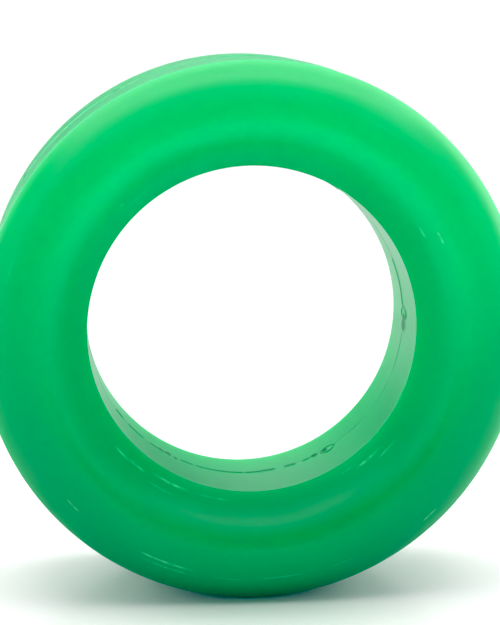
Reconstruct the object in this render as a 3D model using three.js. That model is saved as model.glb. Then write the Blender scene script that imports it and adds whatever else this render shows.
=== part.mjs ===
// Vibration damping ring: one soft elastomer ring moulded in a single shot.
// Millimetres, +Z up. The ring stands on edge: its axis lies along Y and its front face looks
// towards -Y. The origin is the ring's centre, on the mould's parting plane.
//
// Section: a flat bore land and a flat outer land, both parallel to the axis, joined on each
// side by a domed face whose crown stands proud of both lands. The mould halves meet on the
// mid-plane, where they leave a low ridge round the bore and round the outside.

import * as THREE from 'three';

// Each land and the flank of the dome that rises from it.
// outward: the radial direction the land faces, +1 away from the axis and -1 towards it
// hold: how far the flank holds its slope, as a share of its rise
// ease: how far from the crown the flank turns level, as a share of its run
const BORE_SIDE = {
  landRadius: 15.0,
  landHalfWidth: 6.1,
  outward: -1,
  slopeDeg: 50,
  hold: 0.42,
  ease: 0.42,
};
const OUTER_SIDE = {
  landRadius: 24.5,
  landHalfWidth: 8.0,
  outward: 1,
  slopeDeg: 54,
  hold: 0.55,
  ease: 0.50,
};

const CROWN_RADIUS = 19.7;      // where the domed face stands furthest out
const CROWN_HALF_WIDTH = 10.2;  // half the ring's overall width
const EDGE_BREAK = 0.22;        // small break on the four circular edges
const RIDGE_HEIGHT = 0.12;      // parting-line ridge
const RIDGE_BASE_HALF = 0.28;
const RIDGE_TOP_HALF = 0.08;

const FLANK_STEPS = 6;          // facets on each flank
const RING_SEGMENTS = 80;       // even, so that facets face both straight up and straight down

// Section points: x is the radius, y the distance along the axis.
const point = (x, y) => new THREE.Vector2(x, y);

// One side of the half section at y >= 0, from the parting ridge across the land and the
// broken edge, then up the flank, which leaves at its slope and reaches the crown level.
function ridgeToCrown({ landRadius, landHalfWidth, outward, slopeDeg, hold, ease }) {
  const slope = THREE.MathUtils.degToRad(slopeDeg);
  const alongSlope = (start, distance) => point(
    start.x - outward * distance * Math.cos(slope),
    start.y + distance * Math.sin(slope),
  );

  const crown = point(CROWN_RADIUS, CROWN_HALF_WIDTH);
  const flankStart = alongSlope(point(landRadius, landHalfWidth), EDGE_BREAK);
  const rise = crown.y - flankStart.y;
  const run = Math.abs(crown.x - flankStart.x);
  const slopeHandle = alongSlope(flankStart, hold * rise / Math.sin(slope));
  const crownHandle = point(crown.x + outward * ease * run, crown.y);
  const flank = new THREE.CubicBezierCurve(flankStart, slopeHandle, crownHandle, crown);

  return [
    point(landRadius + outward * RIDGE_HEIGHT, RIDGE_TOP_HALF),
    point(landRadius, RIDGE_BASE_HALF),
    point(landRadius, landHalfWidth - EDGE_BREAK),
    ...flank.getPoints(FLANK_STEPS),
  ];
}

// The closed section: across the bore ridge, out along the y < 0 half, then back to the
// start along the y > 0 half. This direction turns the lathe's faces outwards.
function closedSection() {
  const crownToOuterRidge = ridgeToCrown(OUTER_SIDE).reverse();
  const half = [
    ...ridgeToCrown(BORE_SIDE),
    ...crownToOuterRidge.slice(1), // the crown is already in place
  ];
  const mirrored = half.map(({ x, y }) => point(x, -y));
  return [half[0].clone(), ...mirrored, ...half.reverse()];
}

// LatheGeometry turns the section about Y, the ring's axis. Half a facet of offset puts a
// flat facet squarely at the bottom, for the ring to rest on, and another at the top.
function ringGeometry() {
  const halfFacet = Math.PI / RING_SEGMENTS;
  return new THREE.LatheGeometry(closedSection(), RING_SEGMENTS, halfFacet, 2 * Math.PI);
}

const greenElastomer = new THREE.MeshStandardMaterial({
  color: 0x03b45f,
  roughness: 0.32,
  metalness: 0.0,
});

const damperRing = new THREE.Mesh(ringGeometry(), greenElastomer);
damperRing.name = 'damper_ring';

const part = new THREE.Group();
part.name = 'vibration_damping_ring';
part.add(damperRing);

export default part;
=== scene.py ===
"""Looks for the vibration damping ring: one soft, translucent green elastomer moulding standing on edge.

Metres, +Z up, ring axis along Y, front face towards -Y, as in the CAD frame.
Angles round the ring run clockwise from +X as seen from the front.
"""
import math

import bpy
import numpy as np
from mathutils import Matrix, Vector


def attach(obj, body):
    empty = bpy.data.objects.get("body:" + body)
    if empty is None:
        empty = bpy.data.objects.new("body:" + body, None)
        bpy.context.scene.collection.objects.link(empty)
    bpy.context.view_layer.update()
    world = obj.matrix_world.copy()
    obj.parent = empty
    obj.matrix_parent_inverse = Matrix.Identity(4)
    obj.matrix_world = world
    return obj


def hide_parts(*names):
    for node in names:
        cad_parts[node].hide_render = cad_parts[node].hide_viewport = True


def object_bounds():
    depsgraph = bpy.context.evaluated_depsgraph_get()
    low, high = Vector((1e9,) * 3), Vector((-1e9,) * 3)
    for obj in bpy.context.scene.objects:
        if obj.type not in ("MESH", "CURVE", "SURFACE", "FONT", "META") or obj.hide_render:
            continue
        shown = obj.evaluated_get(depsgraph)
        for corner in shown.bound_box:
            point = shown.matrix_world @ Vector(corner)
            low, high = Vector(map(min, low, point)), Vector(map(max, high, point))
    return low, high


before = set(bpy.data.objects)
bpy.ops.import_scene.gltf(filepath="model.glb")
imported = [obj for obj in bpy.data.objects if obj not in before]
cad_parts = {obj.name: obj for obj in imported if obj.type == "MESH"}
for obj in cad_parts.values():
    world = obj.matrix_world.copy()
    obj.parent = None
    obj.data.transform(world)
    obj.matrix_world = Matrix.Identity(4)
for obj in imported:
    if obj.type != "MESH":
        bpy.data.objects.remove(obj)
CAD_LO, CAD_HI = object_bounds()

MM = 0.001

# ---- section of the ring, the CAD's driving dimensions (mm) ---------------------------------
BORE_R = 15.0
OUTER_R = 24.5
BORE_LAND_HALF = 6.1
OUTER_LAND_HALF = 8.0
CROWN_R = 19.7
CROWN_HALF = (CAD_HI.y - CAD_LO.y) / 2 / MM
INNER_FLANK_DEG = 50.0
OUTER_FLANK_DEG = 54.0
INNER_REACH, INNER_EASE = 0.42, 0.42    # how far the flank holds its slope, and how it eases in
OUTER_REACH, OUTER_EASE = 0.55, 0.50
BORE_DRAFT = 0.07           # the bore is this much tighter at the parting line than at its mouths
EDGE_ROUND = 0.20           # radius of the small rounding on the four circular edges
RIDGE_HEIGHT = (CAD_HI.z - CAD_LO.z) / 2 / MM - OUTER_R
RIDGE_HALF = 0.26

# ---- mesh steps -----------------------------------------------------------------------------
ROUND_STEPS = 720
FLANK_STEPS = 44
CORNER_STEPS = 5
FINE_STEP, MEDIUM_STEP = 0.05, 0.10     # spacing across the lands (mm), finest at the parting line
# a land's stations (mm): end of the fine steps, end of the medium ones, last station, coarse count
BORE_STATIONS = (1.2, 2.6, 5.6, 8)
OUTER_STATIONS = (0.8, 1.9, 7.5, 11)

# ---- unevenness round the ring: waves are (count, amplitude, phase) -------------------------
BORE_LINE = -0.45                       # the bore's parting line, mm from mid-plane to the front
BORE_WANDER = [(3, 0.05, 0.4), (7, 0.04, 1.9), (17, 0.02, 0.7)]
BORE_RIDGE_MEAN, BORE_RIDGE_SWING = 0.72, 0.28
BORE_RIDGE_WAVES = [(9, 0.5, 0.3), (23, 0.35, 2.0), (41, 0.15, 1.1)]
BORE_RIDGE_SHARE, TORN_SHARE = 0.45, 0.85       # heights in the bore, as shares of RIDGE_HEIGHT
OUTER_WANDER = [(4, 0.05, 1.0), (11, 0.03, 0.2)]
OUTER_RIDGE_MEAN, OUTER_RIDGE_SWING = 0.70, 0.20
OUTER_RIDGE_WAVES = [(8, 0.5, 1.3), (19, 0.4, 0.2)]
OUTER_RIDGE_MARK = 0.6                  # how strongly the outer ridge is marked as flash, which the material paints as shade
FACE_SAG = [(2, 0.018, 0.5), (5, 0.012, 2.2), (13, 0.006, 0.9)]
SAG_START, SAG_BLEND = 6.4, 3.0         # sag begins this far from mid-plane, is full this much on

# ---- torn flash -----------------------------------------------------------------------------
# gaps in the bore's ridge: angle, half length, end fade (deg)
LINE_GAPS = [(0.5, 4.2, 0.8), (60.5, 3.2, 0.8), (77.4, 1.3, 0.5), (122.0, 3.6, 0.8)]
# thicker runs: angle, half length (deg), half width, offset to the front (mm), end fade (deg)
BORE_DASHES = [
    (351.0, 4.6, 0.36, 0.0, 1.5), (343.0, 4.0, 0.26, 0.0, 2.0), (67.4, 1.2, 0.26, 0.10, 0.6),
    (74.0, 1.7, 0.40, 0.0, 0.6), (82.0, 2.4, 0.42, -0.10, 0.8), (87.5, 2.6, 0.34, 0.0, 0.9),
    (100.0, 8.0, 0.26, 0.0, 3.0), (112.5, 2.2, 0.30, 0.0, 0.8), (124.0, 3.6, 0.40, 0.0, 0.9),
    (134.6, 3.6, 0.40, 0.1, 1.2), (143.6, 1.9, 0.34, 0.1, 0.8), (205.0, 6.0, 0.26, 0.0, 2.0),
    (262.0, 8.0, 0.26, 0.0, 3.0), (300.0, 5.0, 0.28, 0.0, 2.0),
]
# rounded lumps: angle, half length (deg), half width, offset to the front (mm)
BORE_BLOBS = [
    (359.8, 1.5, 0.80, 0.55), (3.0, 3.2, 1.25, 0.35), (59.7, 1.5, 0.80, 0.15),
    (64.0, 2.0, 0.80, 0.05), (72.4, 1.6, 0.50, 0.10), (117.1, 1.5, 0.65, 0.25),
    (119.9, 1.8, 1.00, -0.20), (123.2, 2.0, 0.85, -0.10), (233.0, 1.8, 0.45, 0.0),
]
OUTER_BLOBS = [
    (240.8, 1.5, 0.30, 0.0), (243.2, 0.5, 0.50, 0.0), (214.0, 0.9, 0.40, 0.0),
    (30.0, 1.5, 0.50, -0.1), (118.0, 1.1, 0.45, 0.1), (331.0, 1.0, 0.45, 0.0),
]
# craters with a lip: angle, half length (deg), half width, offset to the front, lip width (mm)
BORE_EYES = [(358.6, 2.7, 1.15, 0.55, 0.34), (58.6, 3.4, 0.75, 0.30, 0.26)]


# ---- section --------------------------------------------------------------------------------
def bezier(p0, p1, p2, p3, steps):
    t = np.linspace(0, 1, steps + 1)[:, None]
    p0, p1, p2, p3 = (np.array(p, float) for p in (p0, p1, p2, p3))
    return (1 - t) ** 3 * p0 + 3 * (1 - t) ** 2 * t * p1 + 3 * (1 - t) * t * t * p2 + t ** 3 * p3


def flank(edge, crown, slope_deg, hold, ease):
    """Curve from a land's edge up to the crown, as (r, y) points."""
    side = math.copysign(1, crown[0] - edge[0])
    slope = math.radians(slope_deg)
    rise = crown[1] - edge[1]
    run = abs(crown[0] - edge[0])
    reach = hold * rise / math.sin(slope)
    leave = (edge[0] + side * reach * math.cos(slope), edge[1] + reach * math.sin(slope))
    arrive = (crown[0] - side * ease * run, crown[1])
    return bezier(edge, leave, arrive, crown, FLANK_STEPS)


def round_corner(before, corner, after, radius):
    """Points of a small arc that rounds off corner between the directions to before and after."""
    corner = np.array(corner, float)
    to_before = np.array(before, float) - corner
    to_after = np.array(after, float) - corner
    to_before /= np.linalg.norm(to_before)
    to_after /= np.linalg.norm(to_after)
    half = math.acos(np.clip(to_before @ to_after, -1, 1)) / 2
    setback = radius / math.tan(half)
    start, end = corner + to_before * setback, corner + to_after * setback
    bisector = to_before + to_after
    centre = corner + bisector / np.linalg.norm(bisector) * (radius / math.sin(half))
    arc = []
    for t in np.linspace(0, 1, CORNER_STEPS + 1):
        spoke = (start - centre) * (1 - t) + (end - centre) * t
        arc.append(centre + spoke / np.linalg.norm(spoke) * radius)
    return np.array(arc)


def land(radius, fine_end, medium_end, last, coarse_count):
    """(r, y) points across half a land, from the mid-plane outwards."""
    y = np.concatenate([
        np.arange(0, fine_end, FINE_STEP),
        np.arange(fine_end, medium_end, MEDIUM_STEP),
        np.linspace(medium_end, last, coarse_count),
    ])
    return np.stack([np.full_like(y, radius), y], 1)


def half_section():
    """(r, y) points at y >= 0, from the bore's mid-line round the face to the outer mid-line."""
    crown = (CROWN_R, CROWN_HALF)
    inner_edge = (BORE_R, BORE_LAND_HALF)
    outer_edge = (OUTER_R, OUTER_LAND_HALF)
    inner = flank(inner_edge, crown, INNER_FLANK_DEG, INNER_REACH, INNER_EASE)
    outer = flank(outer_edge, crown, OUTER_FLANK_DEG, OUTER_REACH, OUTER_EASE)[::-1]
    # the roundings take the place of the flanks' first points
    return np.concatenate([
        land(BORE_R, *BORE_STATIONS),
        round_corner((BORE_R, 0), inner_edge, inner[3], EDGE_ROUND),
        inner[2:],
        outer[1:-2],
        round_corner(outer[-4], outer_edge, (OUTER_R, 0), EDGE_ROUND),
        land(OUTER_R, *OUTER_STATIONS)[::-1],
    ])


def full_section():
    """The closed section loop, with no repeated points."""
    half = half_section()
    mirrored = half[::-1] * (1, -1)
    return np.concatenate([half, mirrored[1:-1]])


# ---- relief ---------------------------------------------------------------------------------
# theta is in radians; across is the distance from the parting line towards the front, in mm
def wave(theta, terms):
    """Sum of a few sines round the ring."""
    out = np.zeros_like(theta)
    for count, amplitude, phase in terms:
        out += amplitude * np.sin(count * theta + phase)
    return out


def bump(distance, half_width):
    """Smooth bump: 1 at distance 0, and 0 beyond the half width."""
    t = np.clip(np.abs(distance) / half_width, 0, 1)
    return (1 - t * t) ** 2


def plateau(distance, half_width, fade):
    """Flat-topped bump: 1 inside the half width, falling to 0 over fade."""
    t = np.clip((np.abs(distance) - half_width) / fade, 0, 1)
    return 1 - t * t * (3 - 2 * t)


def degrees_from(theta, angle):
    """Signed angle from a place on the ring, -180 to 180 degrees."""
    return (np.degrees(theta) - angle + 180) % 360 - 180


def dash(theta, across, angle, half_len, half_width, offset, fade):
    along = plateau(degrees_from(theta, angle), half_len, fade)
    return along * np.sqrt(bump(across - offset, half_width))


def blob(theta, across, angle, half_len, half_width, offset):
    along = degrees_from(theta, angle) / half_len
    reach = np.sqrt(along ** 2 + ((across - offset) / half_width) ** 2)
    return (1 - np.clip(reach, 0, 1) ** 2) ** 0.8


def eye(theta, across, angle, half_len, half_width, offset, lip):
    """A raised lip round a shallow crater, pointed along the ridge."""
    along = np.abs(degrees_from(theta, angle))
    edge = half_width * (1 - np.clip(along / half_len, 0, 1) ** 2)
    from_edge = np.abs(np.abs(across - offset) - edge)
    return np.clip(1 - (from_edge / lip) ** 2, 0, 1) * (along < half_len)


def strongest(shape, rows, theta, across):
    return np.maximum.reduce([shape(theta, across, *row) for row in rows])


def bore_relief(theta, front):
    """Lift and flash mark of the bore's parting ridge: thin, uneven and wandering a little. The material
    paints shade where the mark is.
    """
    across = front - (BORE_LINE + wave(theta, BORE_WANDER))
    swing = BORE_RIDGE_SWING * wave(theta, BORE_RIDGE_WAVES)
    strength = np.clip(BORE_RIDGE_MEAN + swing, 0, 1)
    for angle, half_len, fade in LINE_GAPS:
        strength = strength * (1 - plateau(degrees_from(theta, angle), half_len, fade))
    ridge = strength * bump(across, RIDGE_HALF)
    torn = np.maximum.reduce([
        strongest(dash, BORE_DASHES, theta, across),
        strongest(blob, BORE_BLOBS, theta, across),
        strongest(eye, BORE_EYES, theta, across),
    ])
    lift = np.maximum(BORE_RIDGE_SHARE * ridge, TORN_SHARE * torn)
    return lift, np.maximum(ridge, torn)


def outer_relief(theta, front):
    """Lift and flash mark of the outer parting ridge, kept inside the CAD's own ridge height. The
    material paints shade where the mark is.
    """
    across = front - wave(theta, OUTER_WANDER)
    height = OUTER_RIDGE_MEAN + OUTER_RIDGE_SWING * wave(theta, OUTER_RIDGE_WAVES)
    ridge = height * bump(across, RIDGE_HALF)
    torn = strongest(blob, OUTER_BLOBS, theta, across)
    return np.clip(np.maximum(ridge, torn), 0, 1), np.maximum(OUTER_RIDGE_MARK * ridge, torn)


# ---- ring -----------------------------------------------------------------------------------
def ring_points():
    """Vertex positions (m) and flash marks, on a grid of angle by section point. The marks carry the
    painted shade of the flash.
    """
    section = full_section()
    angles = np.linspace(0, 2 * math.pi, ROUND_STEPS, endpoint=False)
    theta, index = np.meshgrid(angles, np.arange(len(section)), indexing="ij")
    r = section[index, 0]
    y = section[index, 1]
    on_bore = np.abs(r - BORE_R) < 1e-6
    on_outer = np.abs(r - OUTER_R) < 1e-6

    bore_lift, bore_mark = bore_relief(theta, -y)
    outer_lift, outer_mark = outer_relief(theta, -y)
    r = np.where(on_bore, r - BORE_DRAFT * (1 - np.abs(y) / BORE_LAND_HALF), r)
    r = np.where(on_bore, r - RIDGE_HEIGHT * bore_lift, r)
    r = np.where(on_outer, r + RIDGE_HEIGHT * outer_lift, r)
    mark = np.where(on_outer, outer_mark, np.where(on_bore, bore_mark, 0.0))

    # the moulding isn't dead true: the faces are a few hundredths uneven
    sag = wave(theta, FACE_SAG) * np.clip((np.abs(y) - SAG_START) / SAG_BLEND, 0, 1)
    y = y * (1 - np.abs(sag) / CROWN_HALF)
    points = np.stack([r * np.cos(theta) * MM, y * MM, -r * np.sin(theta) * MM], -1)
    return points, np.clip(mark, 0, 1)


def ring_mesh():
    points, mark = ring_points()
    rounds, count = mark.shape
    i = np.arange(rounds)[:, None]
    j = np.arange(count)[None, :]
    next_i, next_j = (i + 1) % rounds, (j + 1) % count
    # wound so that the normals point out of the body
    corners = [i * count + j, i * count + next_j, next_i * count + next_j, next_i * count + j]
    quads = np.stack(corners, -1).reshape(-1, 4)

    mesh = bpy.data.meshes.new("damper_ring_body")
    mesh.vertices.add(mark.size)
    mesh.vertices.foreach_set("co", points.astype(np.float32).ravel())
    mesh.loops.add(quads.size)
    mesh.loops.foreach_set("vertex_index", quads.astype(np.int32).ravel())
    mesh.polygons.add(len(quads))
    mesh.polygons.foreach_set("loop_start", np.arange(0, quads.size, 4, dtype=np.int32))
    mesh.polygons.foreach_set("loop_total", np.full(len(quads), 4, np.int32))
    mesh.polygons.foreach_set("use_smooth", np.ones(len(quads), bool))
    flash = mesh.attributes.new("flash", "FLOAT", "POINT")
    flash.data.foreach_set("value", mark.astype(np.float32).ravel())
    mesh.update(calc_edges=True)
    mesh.validate()
    return mesh


# ---- shader helper --------------------------------------------------------------------------
class Shader:
    """Adds nodes to a tree. An input may be given as a value or as another node's output."""

    def __init__(self, tree, spare=None):
        self.tree = tree
        self.spare = spare              # value for a maths node's third input, if it is set

    def put(self, socket, value):
        if isinstance(value, bpy.types.NodeSocket):
            self.tree.links.new(value, socket)
        else:
            socket.default_value = value

    def add(self, kind, inputs=None, **settings):
        node = self.tree.nodes.new("ShaderNode" + kind)
        for name, value in settings.items():
            setattr(node, name, value)
        for key, value in (inputs or {}).items():
            self.put(node.inputs[key], value)
        return node

    def calc(self, operation, a, b=0.0):
        inputs = {0: a, 1: b}
        if self.spare is not None:
            inputs[2] = self.spare
        return self.add("Math", inputs, operation=operation).outputs[0]

    def remap(self, value, source, target=(0.0, 1.0), kind="LINEAR"):
        return self.add("MapRange", {
            "Value": value,
            "From Min": source[0],
            "From Max": source[1],
            "To Min": target[0],
            "To Max": target[1],
        }, interpolation_type=kind).outputs["Result"]

    def noise(self, vector, scale, detail=2.0):
        inputs = {"Vector": vector, "Scale": scale, "Detail": detail}
        return self.add("TexNoise", inputs).outputs["Fac"]

    def blend(self, factor, a, b):
        return self.add("Mix", {0: factor, 6: a, 7: b}, data_type="RGBA").outputs[2]

    def relief(self, height, strength, distance, normal=None):
        inputs = {"Height": height, "Strength": strength, "Distance": distance}
        if normal is not None:
            inputs["Normal"] = normal
        return self.add("Bump", inputs).outputs["Normal"]


# ---- elastomer ------------------------------------------------------------------------------
BODY_DEEP = (0.0, 0.405, 0.096, 1)
BODY_LIGHT = (0.0, 0.435, 0.108, 1)
# painted shade: the darker green put on the flash marks
FLASH_SHADE_GREEN = (0.0, 0.15, 0.025, 1)
# painted highlight: the lighter, whiter green of the scuffed arcs stands in for glints
SCUFF_GLINT_GREEN = (0.16, 0.74, 0.34, 1)
FLASH_SHADE_COVER = 0.92          # how far the painted flash shade replaces the body's colour
SSS_SCALE = 0.009
SSS_RADIUS = (0.35, 1.0, 0.55)
ROUGH, ROUGH_SWING = 0.36, 0.02
SCUFF_ROUGH = 0.10
FRONT_BLEND = 0.0002        # half depth (m) over which the front side gives way to the rear
# fine scuffed arcs on the front face, painted lighter as glints: angle, half length (deg), radius, half
# width (mm), strength
SCUFFS_AND_GLINTS = [
    (138.0, 4.2, 16.15, 0.14, 0.75), (131.9, 4.0, 16.05, 0.13, 0.80), (119.5, 8.0, 15.75, 0.16, 0.80),
    (122.0, 6.0, 16.45, 0.10, 0.45), (104.0, 7.0, 15.70, 0.10, 0.45), (48.3, 6.0, 15.85, 0.18, 0.70),
    (42.0, 5.0, 16.30, 0.12, 0.50), (56.0, 4.0, 15.60, 0.10, 0.45), (327.8, 3.0, 17.45, 0.14, 0.55),
    (331.7, 2.6, 18.55, 0.14, 0.55), (225.1, 0.8, 16.75, 0.14, 0.70), (229.0, 5.0, 16.20, 0.08, 0.30),
    (112.2, 9.0, 22.00, 0.17, 1.00), (111.0, 7.0, 22.50, 0.11, 0.80), (84.3, 7.0, 22.20, 0.11, 0.65),
    (46.6, 2.4, 23.10, 0.14, 0.85), (138.0, 2.6, 22.25, 0.12, 0.85), (70.0, 5.0, 22.30, 0.08, 0.40),
    (97.0, 5.0, 22.30, 0.09, 0.50), (301.0, 5.0, 21.60, 0.08, 0.20), (196.0, 4.0, 22.6, 0.08, 0.25),
]


def scuff_and_glint_mask(shader, position):
    """Scuffed arcs on the front face, partly handling wear and partly painted glints, broken up by a
    fine noise.
    """
    calc, remap = shader.calc, shader.remap
    x, y, z = shader.add("SeparateXYZ", {0: position}).outputs
    square = calc("ADD", calc("MULTIPLY", x, x), calc("MULTIPLY", z, z))
    radius = calc("MULTIPLY", calc("SQRT", square), 1000.0)
    angle = calc("MULTIPLY", calc("ARCTAN2", calc("MULTIPLY", z, -1.0), x), 180.0 / math.pi)
    front = remap(y, (-FRONT_BLEND, FRONT_BLEND), (1.0, 0.0))

    scuff_and_glint_arcs = None
    for centre, half_len, arc_radius, half_width, strength in SCUFFS_AND_GLINTS:
        turn = calc("FLOORED_MODULO", calc("SUBTRACT", angle, centre - 180.0), 360.0)
        off_angle = calc("ABSOLUTE", calc("SUBTRACT", turn, 180.0))
        along = remap(off_angle, (half_len * 0.35, half_len), (strength, 0.0), "SMOOTHSTEP")
        off_radius = calc("ABSOLUTE", calc("SUBTRACT", radius, arc_radius))
        across = remap(off_radius, (0.0, half_width), (1.0, 0.0), "SMOOTHSTEP")
        arc = calc("MULTIPLY", along, across)
        scuff_and_glint_arcs = arc if scuff_and_glint_arcs is None else calc("MAXIMUM", scuff_and_glint_arcs, arc)
    uneven = remap(shader.noise(position, scale=1400.0), (0.35, 0.6), (0.35, 1.0))
    return calc("MULTIPLY", calc("MULTIPLY", scuff_and_glint_arcs, uneven), front)


def elastomer():
    """Translucent green elastomer: light scatters millimetres into it, the skin is a soft satin."""
    material = bpy.data.materials.new("ring_elastomer")
    material.use_nodes = True
    material.node_tree.nodes.clear()
    shader = Shader(material.node_tree, spare=0.0)
    calc, remap, noise = shader.calc, shader.remap, shader.noise
    position = shader.add("TexCoord").outputs["Object"]

    # slow clouding of the pigment through the body
    cloud = remap(noise(position, scale=70.0), (0.35, 0.65))
    body = shader.blend(cloud, BODY_DEEP, BODY_LIGHT)

    # torn flash and the parting line: painted shade, a darker green standing in for the shading of their
    # small relief, which the scattering washes out
    flash = shader.add("Attribute", attribute_name="flash").outputs["Fac"]
    mark = remap(flash, (0.25, 0.85), kind="SMOOTHSTEP")
    body = shader.blend(calc("MULTIPLY", mark, FLASH_SHADE_COVER), body, FLASH_SHADE_GREEN)
    # scuffed arcs painted a lighter green: partly handling wear, partly painted glints
    scuff_and_glint = scuff_and_glint_mask(shader, position)
    body = shader.blend(scuff_and_glint, body, SCUFF_GLINT_GREEN)

    # satin of the mould with faint, slow smears; the scuffs are duller
    smear = noise(position, scale=160.0, detail=3.0)
    rough = remap(smear, (0.3, 0.7), (ROUGH - ROUGH_SWING, ROUGH + ROUGH_SWING))
    rough = calc("ADD", rough, calc("MULTIPLY", scuff_and_glint, SCUFF_ROUGH))

    # skin: fine grain of the tool, a trace of broad unevenness, and the scuffs' raised burr
    skin = shader.relief(noise(position, scale=3200.0), strength=0.08, distance=0.00002)
    skin = shader.relief(noise(position, scale=260.0), strength=0.05, distance=0.00008, normal=skin)
    skin = shader.relief(scuff_and_glint, strength=0.5, distance=0.00003, normal=skin)

    surface = shader.add("BsdfPrincipled", {
        "Base Color": body,
        "Subsurface Weight": remap(mark, (0.0, 1.0), (1.0, 0.45)),
        "Subsurface Radius": SSS_RADIUS,
        "Subsurface Scale": SSS_SCALE,
        "Subsurface Anisotropy": 0.2,
        "IOR": 1.45,
        "Specular IOR Level": remap(mark, (0.0, 1.0), (0.58, 0.1)),
        "Specular Tint": (1, 1, 1, 1),
        "Roughness": rough,
        "Normal": skin,
    }, subsurface_method="RANDOM_WALK")
    shader.add("OutputMaterial", {"Surface": surface.outputs[0]})
    return material


def add_ring():
    material = elastomer()
    ring = bpy.data.objects.new("damper_ring_body", ring_mesh())
    bpy.context.scene.collection.objects.link(ring)
    ring.data.materials.append(material)
    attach(ring, "root")
    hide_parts("damper_ring")
    return ring


# ---- floor ----------------------------------------------------------------------------------
FLOOR_HALF = 1.6
FLOOR_Z = CAD_LO.z + 0.00002            # the ring sinks a hair into the floor
FLOOR_WHITE = (0.93, 0.93, 0.93, 1)
FLOOR_BOUNCE = (0.27, 0.27, 0.27, 1)    # what diffuse rays see, so the floor throws less light back


def white_table():
    material = bpy.data.materials.new("white_table")
    material.use_nodes = True
    shader = Shader(material.node_tree)
    surface = material.node_tree.nodes["Principled BSDF"]
    diffuse_ray = shader.add("LightPath").outputs["Is Diffuse Ray"]
    shader.put(surface.inputs["Base Color"], shader.blend(diffuse_ray, FLOOR_WHITE, FLOOR_BOUNCE))
    surface.inputs["Roughness"].default_value = 0.28
    surface.inputs["IOR"].default_value = 1.45
    return material


def add_floor():
    mesh = bpy.data.meshes.new("floor")
    signs = [(-1, -1), (1, -1), (1, 1), (-1, 1)]
    corners = [(x * FLOOR_HALF, y * FLOOR_HALF, FLOOR_Z) for x, y in signs]
    mesh.from_pydata(corners, [], [(0, 1, 2, 3)])
    floor = bpy.data.objects.new("floor", mesh)
    bpy.context.scene.collection.objects.link(floor)
    mesh.materials.append(white_table())
    return floor


# ---- world: the far walls of a small light tent ---------------------------------------------
# The walls are sectors of direction, banded by f, the direction's part towards the front (-Y).
FACE_LIMIT = 0.7071                     # beyond this f a direction counts as front or rear
HIGH_Z = 0.35
# overhead: f from, f to, radiance
UP_SECTORS = [
    (-0.17, 0.0, 2.85), (-0.34, -0.17, 2.93), (-0.5, -0.34, 4.05), (-FACE_LIMIT, -0.5, 0.10),
]
# sides: f from, f to, radiance on the left (-X), on the right (+X)
SIDE_SECTORS = [
    (0.35, FACE_LIMIT, 1.72, 1.55), (0.0, 0.35, 0.73, 0.64),
    (-0.35, 0.0, 1.49, 4.73), (-FACE_LIMIT, -0.35, 5.78, 2.70),
]
BACK_LOW, BACK_HIGH, FRONT_LOW = 0.40, 2.13, 0.15
BACKDROP = 1.1                          # the plain white that the camera sees
WHITE = (1, 1, 1, 1)


def add_world():
    world = bpy.data.worlds.new("studio")
    bpy.context.scene.world = world
    world.use_nodes = True
    world.node_tree.nodes.clear()
    shader = Shader(world.node_tree)
    calc = shader.calc

    def step(value, at, soft=0.06):
        return shader.remap(value, (at - soft, at + soft), kind="SMOOTHSTEP")

    def sector(start, end, region):
        band = calc("SUBTRACT", step(f, start), step(f, end))
        return calc("MULTIPLY", band, region)

    direction = shader.add("TexCoord").outputs["Generated"]
    x, y, z = shader.add("SeparateXYZ", {0: direction}).outputs
    f = calc("MULTIPLY", y, -1.0)
    up = step(calc("SUBTRACT", z, calc("ABSOLUTE", x)), 0.0, soft=0.12)
    side = calc("SUBTRACT", 1.0, up)
    right = calc("MULTIPLY", side, step(x, 0.0, soft=0.1))
    left = calc("SUBTRACT", side, right)
    high = step(z, HIGH_Z, soft=0.08)
    rear = calc("SUBTRACT", 1.0, step(f, -FACE_LIMIT))
    rear_high = calc("MULTIPLY", rear, high)
    rear_low = calc("SUBTRACT", rear, rear_high)
    front_low = calc("MULTIPLY", step(f, FACE_LIMIT), calc("SUBTRACT", 1.0, high))

    walls = [(sector(start, end, up), radiance) for start, end, radiance in UP_SECTORS]
    for start, end, on_left, on_right in SIDE_SECTORS:
        walls.append((sector(start, end, left), on_left))
        walls.append((sector(start, end, right), on_right))
    walls += [(rear_low, BACK_LOW), (rear_high, BACK_HIGH), (front_low, FRONT_LOW)]
    total = 0.0
    for mask, radiance in walls:
        total = calc("ADD", calc("MULTIPLY", mask, radiance), total)

    tent = shader.add("Background", {"Color": WHITE, "Strength": total})
    backdrop = shader.add("Background", {"Color": WHITE, "Strength": BACKDROP})
    camera_ray = shader.add("LightPath").outputs["Is Camera Ray"]
    mix = shader.add("MixShader", {"Fac": camera_ray, 1: tent.outputs[0], 2: backdrop.outputs[0]})
    shader.add("OutputWorld", {"Surface": mix.outputs[0]})


# ---- panels close to the ring ---------------------------------------------------------------
# name, position, aim, size (mm), radiance
SHEEN_SIZE = (110, 12)
SHEENS = [                              # seen in reflections only
    ("sheen_a", (0, -46, 40), (0, -9, 20), SHEEN_SIZE, 1.30),
    ("sheen_b", (0, -36, 48), (0, -9, 21), SHEEN_SIZE, 1.30),
    ("sheen_c", (0, -23, 53), (0, -9, 22), SHEEN_SIZE, 5.00),
    ("sheen_d", (0, -9, 55), (0, -8, 22), SHEEN_SIZE, 2.20),
    ("sheen_e", (0, 6, 55), (0, -6, 22), SHEEN_SIZE, 0.80),
]
FILLS = [                               # diffuse light only
    ("fill_top", (0, -22, 50), (0, -9, 16), (50, 16), 1.00),
    ("fill_front", (0, -60, 20), (0, -9, 14), (80, 16), 6.00),
    ("fill_low", (0, -55, -5), (0, -9, 20), (70, 14), 1.20),
    ("fill_rim", (0, -17, -24.2), (0, -8.5, -19.5), (26, 3), 0.90),
]
TABLE_TOP = ("table_top", (0, -20, 160), (0, 0, 0), (160, 90), 4.24)
LOW_FILL_SPREAD = 70                    # degrees


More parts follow.
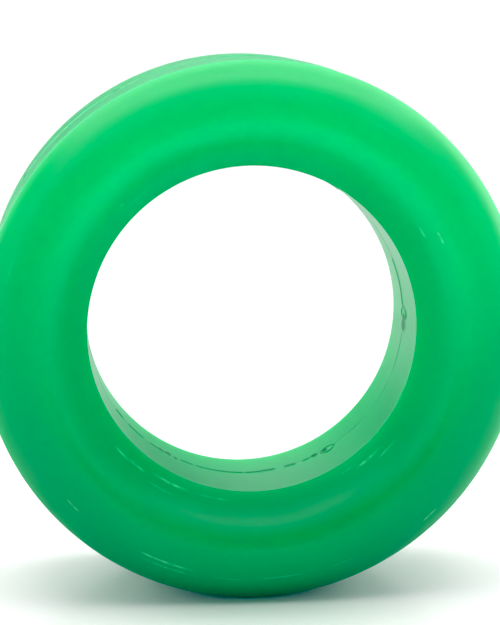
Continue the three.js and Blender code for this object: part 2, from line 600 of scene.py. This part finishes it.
def panel(name, position, aim, size, radiance, glossy, receivers):
    """A flat softbox lighting only the receivers, by glossy or else by diffuse rays."""
    light = bpy.data.lights.new(name, "AREA")
    light.shape = "RECTANGLE"
    light.size, light.size_y = size[0] * MM, size[1] * MM
    light.energy = math.pi * size[0] * MM * size[1] * MM * radiance
    lamp = bpy.data.objects.new(name, light)
    bpy.context.scene.collection.objects.link(lamp)
    lamp.location = Vector(position) * MM
    lamp.rotation_euler = (Vector(aim) - Vector(position)).to_track_quat("-Z", "Y").to_euler()
    lamp.visible_camera = False
    lamp.visible_diffuse = not glossy
    lamp.visible_glossy = glossy
    lamp.light_linking.receiver_collection = receivers
    return light


def lit_only(name, thing):
    group = bpy.data.collections.new(name)
    group.objects.link(thing)
    return group


def add_panels(ring, floor):
    ring_only = lit_only("lit_ring", ring)
    floor_only = lit_only("lit_floor", floor)
    for row in SHEENS:
        panel(*row, glossy=True, receivers=ring_only)
    for row in FILLS:
        light = panel(*row, glossy=False, receivers=ring_only)
        if light.name == "fill_low":
            light.spread = math.radians(LOW_FILL_SPREAD)
    panel(*TABLE_TOP, glossy=False, receivers=floor_only)


# ---- camera ---------------------------------------------------------------------------------
CAMERA_PLACE = (-16.9904, -173.3204, 30.4634)       # mm
CAMERA_AXES = (
    (0.99505031, -0.09937247, 0.0),                 # right
    (0.01676264, 0.16785001, 0.98567002),           # up
    (-0.09794846, -0.98079126, 0.16868494),         # back
)


def add_camera():
    data = bpy.data.cameras.new("camera")
    data.lens = 108.52
    data.sensor_width = 36.0
    data.sensor_fit = "AUTO"
    data.clip_start = 0.005
    data.clip_end = 20.0
    camera = bpy.data.objects.new("camera", data)
    bpy.context.scene.collection.objects.link(camera)
    turn = Matrix(CAMERA_AXES).transposed().to_4x4()
    camera.matrix_world = Matrix.Translation(Vector(CAMERA_PLACE) * MM) @ turn
    bpy.context.scene.camera = camera


def set_render():
    scene = bpy.context.scene
    view = scene.view_settings
    view.view_transform = "Standard"
    view.look = "None"
    view.exposure = 0.0
    view.gamma = 1.0
    # the pigment is greener than the display can show: the red channel's toe is cut
    view.use_curve_mapping = True
    view.curve_mapping.black_level = (0.065, 0.0, 0.0)
    view.curve_mapping.update()
    cycles = scene.cycles
    cycles.use_denoising = True
    cycles.max_bounces = 12
    cycles.diffuse_bounces = 5
    cycles.glossy_bounces = 4
    cycles.sample_clamp_indirect = 4.0
    cycles.caustics_reflective = False


ring = add_ring()
floor = add_floor()
add_world()
add_panels(ring, floor)
add_camera()
set_render()
